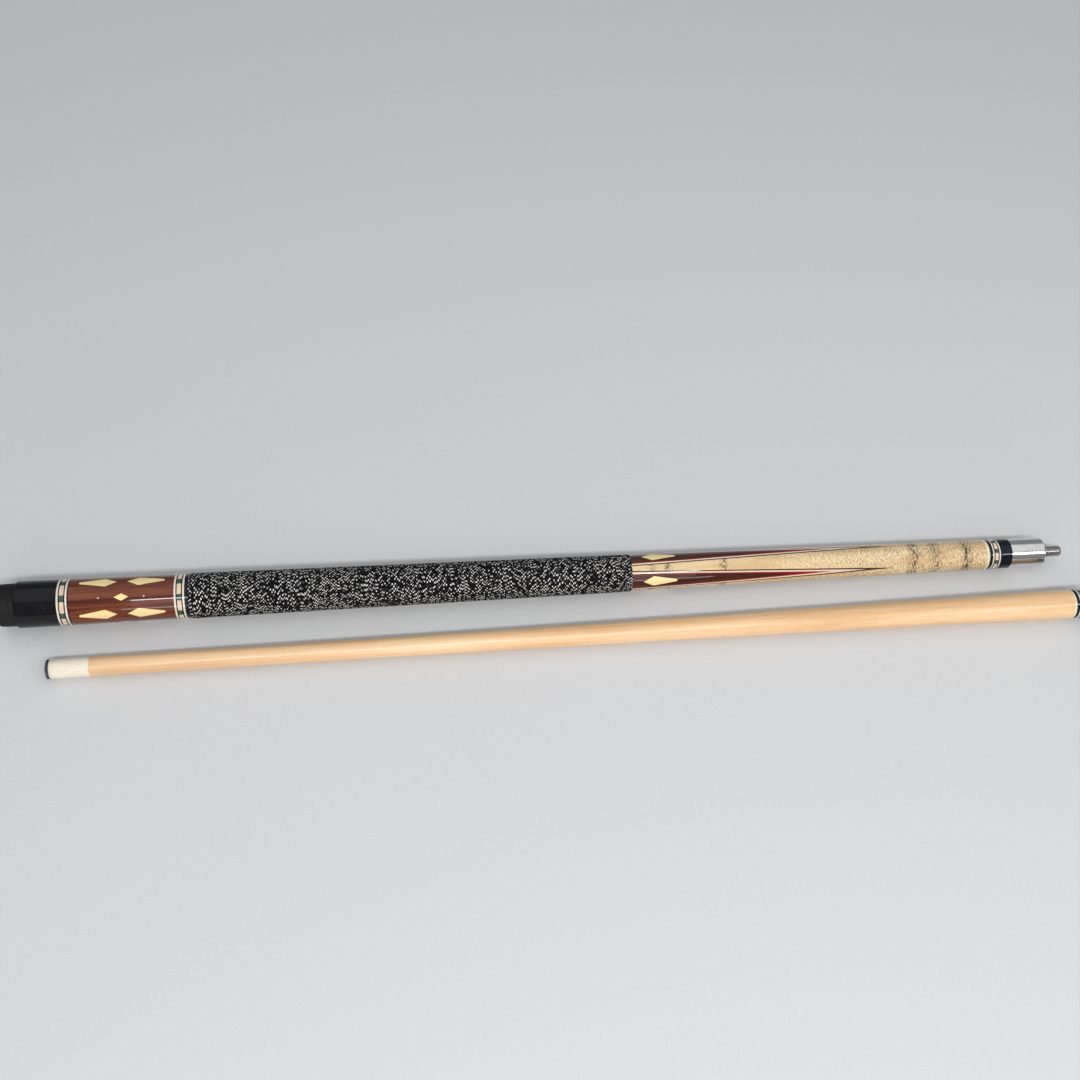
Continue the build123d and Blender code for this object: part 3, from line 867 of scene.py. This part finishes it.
def leather_material():
    """Pressed leather tip, dark with chalk: layered at its side, scuffed on its dome."""
    made = Surface("pressed_leather_tip", shaft, Roughness=0.8)
    fibres = made.noise(made.stretch(1700, 1700), 4.0, 0.7)
    layers = made.noise(made.stretch(3600, 60), 2.0, 0.5)
    dust = made.noise(made.stretch(420, 420), 4.0, 0.65)
    body = made.ramp(fibres, (0.3, (0.012, 0.014, 0.02)), (0.7, (0.05, 0.058, 0.078)))
    chalked = made.blend(made.span(dust, 0.5, 0.7, 0.0, 0.5), body, (0.10, 0.15, 0.22))
    made.set("Base Color", chalked)
    made.set("Roughness", made.span(dust, 0.3, 0.7, 0.72, 0.92))
    made.bump(made.total(fibres, layers), 0.09, 0.7)
    return made.material


def plain_wood_material(name, light, dark):
    """Unfinished wood inside the cue."""
    made = Surface(name)
    grain = made.noise(made.stretch(20, 700), 4.0, 0.6)
    made.set("Base Color", made.ramp(grain, (0.3, dark), (0.7, light)))
    made.set("Roughness", made.span(grain, 0.3, 0.7, 0.55, 0.75))
    made.bump(grain, 0.05, 0.3)
    return made.material


rosewood = rosewood_material("rosewood_under_lacquer", 1.0)
point_rosewood = rosewood_material("dark_rosewood_under_lacquer", 0.5)
figured_maple = figured_maple_material()
shaft_maple = shaft_maple_material()
linen = linen_material()
inlay_wood = veneer_material("pale_inlay_wood", (0.93, 0.78, 0.38), (0.86, 0.66, 0.29))
veneers = {
    "black": veneer_material("dark_veneer", (0.050, 0.024, 0.018), (0.020, 0.010, 0.009)),
    "white": veneer_material("cream_veneer", (0.84, 0.68, 0.55), (0.70, 0.52, 0.40)),
    # The red veneer's third colour is painted shade near the wrap.
    "red": veneer_material(
        "red_veneer", (0.46, 0.008, 0.032), (0.28, 0.005, 0.018), painted_shade=(0.12, 0.012, 0.022)
    ),
}
ivory = mottled("ivory_coloured_block", (0.80, 0.64, 0.47), (0.68, 0.50, 0.34), 520, 0.12, 0.25)
green_stone = mottled(
    "green_stone_block", (0.075, 0.150, 0.115), (0.020, 0.055, 0.042), 900, 0.2, 0.7
)
ring_white = mottled("white_ring", (0.78, 0.74, 0.63), (0.66, 0.61, 0.50), 400, 0.05, 0.1)
ring_black = black_plastic_material("black_ring", (0.006, 0.006, 0.009))
cap_black = black_plastic_material("polished_black_resin", (0.0045, 0.0045, 0.006))
collar_black = black_plastic_material("blue_black_resin", (0.0050, 0.0065, 0.013))
polished_steel = steel_material("polished_steel", (0.80, 0.79, 0.78), 0.10, 0.20)
pin_steel = steel_material("threaded_steel", (0.55, 0.53, 0.52), 0.22, 0.38)
brass = steel_material("turned_brass", (0.72, 0.52, 0.24), 0.18, 0.32)
rubber = rubber_material()
ferrule_white = ferrule_material()
leather = leather_material()
core_maple = plain_wood_material("core_maple", (0.60, 0.44, 0.26), (0.46, 0.31, 0.17))
inner_steel = steel_material("plain_turned_steel", (0.50, 0.49, 0.48), 0.28, 0.45)

# ================================================================ butt: bumper, cap and rear rings
bumper_outline = [(RECESS - BUMPER, 0.0), (RECESS - BUMPER, RECESS_RADIUS - RECESS_DRAFT)]
bumper_outline += arc_points(
    (RECESS_ROUND - BUMPER, RECESS_RADIUS + RECESS_ROUND), RECESS_ROUND, 270, 180, 3
)
bumper_outline += arc_points(
    (BUMPER_ROUND - BUMPER, BUMPER_RADIUS - BUMPER_ROUND), BUMPER_ROUND, 180, 90, 8
)
bumper_outline += [
    (-MOULD_LINE - MOULD_LINE_HALF, BUMPER_RADIUS + 0.12),
    (-MOULD_LINE, BUMPER_RADIUS),
    (-MOULD_LINE + MOULD_LINE_HALF, BUMPER_RADIUS + 0.14),
    (-0.4, BUMPER_RADIUS + BUMPER_FLARE),
    (0.0, BUMPER_RADIUS + BUMPER_FLARE / 2),
    (0.0, 0.0),
]
lathe("bumper_moulded", butt, bumper_outline, rubber, ["rubber_bumper"])

cap_outline = [(0.0, 0.0), (0.0, BUTT_RADIUS - CAP_ROUND)]
cap_outline += arc_points((CAP_ROUND, BUTT_RADIUS - CAP_ROUND), CAP_ROUND, 180, 90, 5)
cap_outline += [(s, butt_r(s)) for s in spaced(2 * CAP_ROUND, CAP, 6)]
cap_outline += [(CAP, CAP_BORE_RADIUS), (CAP_FLOOR, CAP_BORE_RADIUS), (CAP_FLOOR, 0.0)]
lathe("cap_polished", butt, cap_outline, cap_black, ["butt_cap"])


def ring_spans(start, widths):
    """(start, end) of rings that follow each other."""
    spans = []
    for width in widths:
        spans.append((start, start + width))
        start += width
    return spans


def ring_set(prefix, half, radius_at, spans, whites, blacks, block, green_angle):
    """White lines, black lines and a chequered ring, each kind a piece of its own."""
    rings(
        prefix + "_white_lines", half, radius_at, [spans[i] for i in whites],
        ring_white, [prefix + "_white_rings"],
    )
    rings(
        prefix + "_black_lines", half, radius_at, [spans[i] for i in blacks],
        ring_black, [prefix + "_black_rings"],
    )
    green_arc = 360 / BLOCK_COUNT - IVORY_ARC
    ivory_angle = green_angle + 180 / BLOCK_COUNT
    blocks(
        prefix + "_ivory_chequers", half, radius_at, spans[block], IVORY_ARC, ivory_angle,
        ivory, [prefix + "_ivory_blocks"],
    )
    blocks(
        prefix + "_green_chequers", half, radius_at, spans[block], green_arc, green_angle,
        green_stone, [prefix + "_green_blocks"],
    )


rear_spans = ring_spans(CAP, (WHITE, BLACK, BLOCK, BLACK, WHITE, BLACK))
ring_set("rear", butt, butt_r, rear_spans, (0, 4), (1, 3, 5), 2, REAR_GREEN)
front_spans = ring_spans(sleeve_end, (WHITE, BLACK, BLOCK, BLACK, WHITE, BAND))
ring_set("front", butt, butt_r, front_spans, (0, 4), (1, 3, 5), 2, FRONT_GREEN)
joint_spans = ring_spans(
    forearm_end,
    (JOINT_WHITE, JOINT_BAND, JOINT_WHITE, JOINT_BLACK, JOINT_BLOCK, JOINT_BLACK, JOINT_WHITE),
)
ring_set("joint", butt, butt_r, joint_spans, (0, 2, 6), (1, 3, 5), 4, JOINT_GREEN)

# ================================================================ butt: sleeve and its inlays
sleeve_outlines = []
for row in range(ROWS):
    spear_angle = SLEEVE_INDEX + ROW_STEP * (row + 0.5)
    dot_angle = SLEEVE_INDEX + ROW_STEP * row
    for way in (-1, 1):
        sleeve_outlines.append(("spears", spear(spear_angle, sleeve_middle + way * SPEAR_GAP, way)))
    sleeve_outlines.append(("diamonds", diamond(dot_angle, sleeve_middle)))
    for way in (-1, 1):
        place = sleeve_middle + way * DOT_STATION
        sleeve_outlines.append(("dots", dot(dot_angle, place, DOT_RADIUS - DOT_RIM)))
sleeve_seam = SLEEVE_INDEX + ROW_STEP / 4 - 360
sleeve_outlines = [
    (kind, [(s, a if a < sleeve_seam + 360 else a - 360) for s, a in outline])
    for kind, outline in sleeve_outlines
]
skins = inlaid_skin(sleeve_start, sleeve_end, sleeve_seam, 3.0, sleeve_outlines)
put_skin("sleeve_rosewood", skins["ground"], rosewood, ["butt_sleeve"])
put_skin("sleeve_spear_inlays", skins["spears"], inlay_wood, ["sleeve_spears"])
put_skin("sleeve_diamond_inlays", skins["diamonds"], inlay_wood, ["sleeve_diamonds"])
put_skin("sleeve_dot_inlays", skins["dots"], ivory, ["sleeve_dots"])


# ================================================================ butt: linen wrap
def linen_r(station, offset):
    """Radius of the wound thread, rounded off where the winding starts and stops."""
    ends = min(station - wrap_start, wrap_end - station)
    share = min(1.0, sqrt(max(ends, 0.0) / LINEN_PITCH))
    return butt_r(station) + (LINEN_PROUD + offset) * share


linen_inner = butt_r(wrap_end) - 0.5
linen_ridge = (-LINEN_RIDGE, 0.0)
winding = helical(
    butt, wrap_start, wrap_end, LINEN_PITCH, linen_ridge, linen_r, linen_inner, LINEN_COLUMNS
)
put("linen_winding", butt, closed_mesh("linen_winding", *winding), linen, ["linen_wrap"])

# ================================================================ butt: forearm, points, veneers
point_outlines = []
for row in range(ROWS):
    angle = FOREARM_INDEX + ROW_STEP * (row + 0.5) - 360
    lift = 0.0
    for kind, thickness in [*VENEERS.items(), ("rosewood", 0.0)]:
        point_outlines.append((kind, groove(angle, lift)))
        lift += thickness * sqrt(2)
    point_outlines.append(("spears", spear(angle, wrap_end + POINT_SPEAR_START, 1)))
skins = inlaid_skin(wrap_end, forearm_end, FOREARM_INDEX - 360, 4.0, point_outlines)
put_skin("forearm_maple", skins["ground"], figured_maple, ["forearm"])
for kind in VENEERS:
    nodes = [kind + "_veneers"]
    put_skin("point_veneers_" + kind, skins[kind], veneers[kind], nodes)
put_skin("points_rosewood", skins["rosewood"], point_rosewood, ["rosewood_points"])
put_skin("point_spear_inlays", skins["spears"], inlay_wood, ["point_spears"])

# ================================================================ butt: joint
joint_sleeve_outline = band_outline(joint_sleeve_start, collar_start, butt_r, BAND_DEPTH, 3.0)
lathe(
    "joint_sleeve_polished", butt, joint_sleeve_outline,
    collar_black, ["joint_sleeve"],
)

collar_outline = [(collar_start, COLLAR_BORE_RADIUS)]
collar_outline += [(s, butt_r(s)) for s in spaced(collar_start, joint_face - EDGE_ROW, 5)]
collar_outline += [
    (joint_face - JOINT_EDGE, butt_r(joint_face - JOINT_EDGE)),
    (joint_face - 0.12, JOINT_RADIUS - 0.1),
    (joint_face, JOINT_RADIUS - JOINT_EDGE),
    (joint_face, JOINT_RADIUS - EDGE_ROW),
    (joint_face, COLLAR_DISH_RADIUS),
    (joint_face - COLLAR_DISH, COLLAR_DISH_RADIUS - COLLAR_DISH),
    (joint_face - COLLAR_DISH, COLLAR_HOLE),
    (joint_face - COLLAR_WALL, COLLAR_HOLE),
    (joint_face - COLLAR_WALL, COLLAR_BORE_RADIUS),
]
lathe("collar_polished", butt, collar_outline, polished_steel, ["joint_collar"])

pin_start = joint_face - PIN_ROOTED
pin_end = joint_face + PIN_REACH


def pin_r(station, offset):
    """Radius of the pin's thread, cut back by the chamfer at its end."""
    return min(PIN_RADIUS + offset, PIN_RADIUS - PIN_CHAMFER + (pin_end - station))


pin_ridge = (0.0, 0.0, -PIN_THREAD, -PIN_THREAD)
thread = helical(butt, pin_start, pin_end, PIN_PITCH, pin_ridge, pin_r, 0.0, PIN_COLUMNS)
put("pin_threaded", butt, closed_mesh("pin_threaded", *thread), pin_steel, ["joint_pin"])

# ================================================================ shaft
shaft_collar_outline = [
    (0.25, INSERT_RADIUS + 0.02),
    (0.0, INSERT_RADIUS + 0.3),
    (0.0, JOINT_RADIUS - EDGE_ROW),
    (0.0, JOINT_RADIUS - JOINT_EDGE),
    (0.1, JOINT_RADIUS - 0.1),
    (JOINT_EDGE, shaft_band_r(JOINT_EDGE)),
    (EDGE_ROW, shaft_band_r(EDGE_ROW)),
]
shaft_collar_outline += [(s, shaft_band_r(s)) for s in spaced(2.0, SHAFT_COLLAR, 3)]
shaft_collar_outline += [(SHAFT_COLLAR, INSERT_RADIUS + 0.02)]
lathe(
    "shaft_collar_polished", shaft, shaft_collar_outline,
    collar_black, ["shaft_collar"],
)
shaft_spans = ring_spans(
    SHAFT_COLLAR,
    (JOINT_WHITE, JOINT_BLACK, JOINT_BLOCK, JOINT_BLACK, JOINT_WHITE, JOINT_BAND, JOINT_WHITE),
)
ring_set("shaft", shaft, shaft_band_r, shaft_spans, (0, 4, 6), (1, 3, 5), 2, JOINT_GREEN)

insert_outline = [
    (0.2, BORE_RADIUS + 0.25),
    (0.2, INSERT_RADIUS - 0.2),
    (0.4, INSERT_RADIUS),
    (INSERT, INSERT_RADIUS),
    (INSERT, 0.0),
    (INSERT_BORE, 0.0),
    (INSERT_BORE, BORE_RADIUS),
]
lathe("insert_brass", shaft, insert_outline, brass, ["shaft_insert"], "shaft_insert")

wood_start = shaft_spans[-1][1]


def wood_r(station):
    """Radius of the bare shaft: a slightly hollow taper."""
    share = (station - wood_start) / (ferrule_start - wood_start)
    straight = shaft_band_r(wood_start) * (1 - share) + FERRULE_RADIUS * share
    return straight - 4 * SHAFT_SAG * share * (1 - share)


shaft_outline = [(s, wood_r(s)) for s in spaced(wood_start, ferrule_start, 8)]
shaft_outline += [
    (ferrule_start, 0.0),
    (INSERT + GLUE_LINE, 0.0),
    (INSERT + GLUE_LINE, INSERT_RADIUS + GLUE_LINE),
    (wood_start, INSERT_RADIUS + GLUE_LINE),
]
lathe("shaft_wood", shaft, shaft_outline, shaft_maple, ["shaft"])

ferrule_outline = [(ferrule_start, 0.0), (ferrule_start, FERRULE_RADIUS)]
ferrule_outline += [(s, FERRULE_RADIUS) for s in spaced(ferrule_start + 4, ferrule_front - 0.3, 4)]
ferrule_outline += [(ferrule_front, FERRULE_RADIUS - 0.12), (ferrule_front, 0.0)]
lathe("ferrule_turned", shaft, ferrule_outline, ferrule_white, ["ferrule"])

dome_height = TIP - TIP_EDGE
dome_radius = (TIP_RADIUS**2 + dome_height**2) / (2 * dome_height)
dome_rim = TIP_RADIUS - 0.03
dome_steps = 8
tip_outline = [
    (ferrule_front, 0.0),
    (ferrule_front, TIP_RADIUS - 0.05),
    (ferrule_front + 0.5, TIP_RADIUS),
    (ferrule_front + 1.2, TIP_RADIUS),
    (ferrule_front + TIP_EDGE, dome_rim),
]
for step in range(1, dome_steps + 1):
    radius = dome_rim * (1 - step / dome_steps)
    tip_outline.append((SHAFT - dome_radius + sqrt(dome_radius**2 - radius**2), radius))
lathe("tip_leather", shaft, tip_outline, leather, ["tip"])

# ================================================================ pieces hidden inside
inner_materials = {
    "handle_core": core_maple,
    "bumper_screw": inner_steel,
    "weight_bolt": inner_steel,
    "forearm_screw": inner_steel,
}
for node, material in inner_materials.items():
    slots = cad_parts[node].data.materials
    slots.clear()
    slots.append(material)


# ================================================================ floor, light and camera
def floor_material():
    """Pale matt floor with a very faint grain."""
    made = Surface("pale_floor")
    grain = made.noise(made.stretch(900, 900), 3.0, 0.5)
    made.set("Base Color", made.ramp(grain, (0.3, (0.60, 0.61, 0.62)), (0.7, (0.64, 0.65, 0.66))))
    made.set("Roughness", made.span(grain, 0.3, 0.7, 0.6, 0.7))
    return made.material


FLOOR_SIZE = 8.0
floor_drop = (LINEN_PROUD - WRAP_REST) * MM
bpy.ops.mesh.primitive_plane_add(size=FLOOR_SIZE, location=(0, 0, -floor_drop))
floor = bpy.context.object
floor.name = "studio_floor"
floor.data.materials.append(floor_material())


def area_light(name, place, target, size, power, colour):
    """A soft rectangular lamp that faces a target."""
    lamp = bpy.data.lights.new(name, "AREA")
    lamp.shape = "RECTANGLE"
    lamp.size, lamp.size_y = size
    lamp.energy = power
    lamp.color = colour
    holder = bpy.data.objects.new(name, lamp)
    bpy.context.scene.collection.objects.link(holder)
    holder.location = place
    holder.rotation_euler = (Vector(target) - Vector(place)).to_track_quat("-Z", "Y").to_euler()


tube_white = (1.0, 0.99, 0.97)
strip_white = (1.0, 0.93, 0.92)
area_light("long_tube", (-0.01, -1.10, 1.50), (-0.01, 0.0, 0.0), (1.26, 0.17), 16.5, tube_white)
area_light("far_tube", (1.53, -1.10, 1.50), (1.53, 0.0, 0.0), (0.32, 0.17), 8.0, tube_white)
area_light("low_strip", (-0.04, -1.30, 0.20), (-0.04, 0.0, 0.0), (1.05, 0.14), 3.2, strip_white)
area_light("window", (-0.03, -1.40, 0.85), (-0.03, 0.0, 0.0), (1.15, 1.05), 4.6, (1.0, 0.95, 0.97))
area_light("soft_ceiling", (0.1, 0.4, 2.3), (0.0, 0.0, 0.0), (4.2, 3.2), 24.5, (1.0, 1.0, 1.0))

world = bpy.data.worlds.new("soft_room")
bpy.context.scene.world = world
world.use_nodes = True
background = world.node_tree.nodes["Background"]
background.inputs["Color"].default_value = (0.92, 0.95, 1.0, 1.0)
background.inputs["Strength"].default_value = 0.265

# The camera stands in front of the butt's wrap, looks down at the cue and is turned slightly.
camera_data = bpy.data.cameras.new("camera")
camera_data.lens = 40.14
camera_data.sensor_width = 36.0
camera = bpy.data.objects.new("camera", camera_data)
bpy.context.scene.collection.objects.link(camera)
camera_place = (-0.1177, -0.4044, 0.7473)
camera_back = Vector((-0.11841, -0.52379, 0.84358)).normalized()
camera_up = camera_back.cross(Vector((0.99163, -0.10636, 0.07316))).normalized()
camera_right = camera_up.cross(camera_back)
camera_turn = Matrix((camera_right, camera_up, camera_back)).transposed().to_4x4()
camera.matrix_world = Matrix.Translation(camera_place) @ camera_turn
bpy.context.scene.camera = camera
bpy.context.scene.view_settings.view_transform = "Standard"
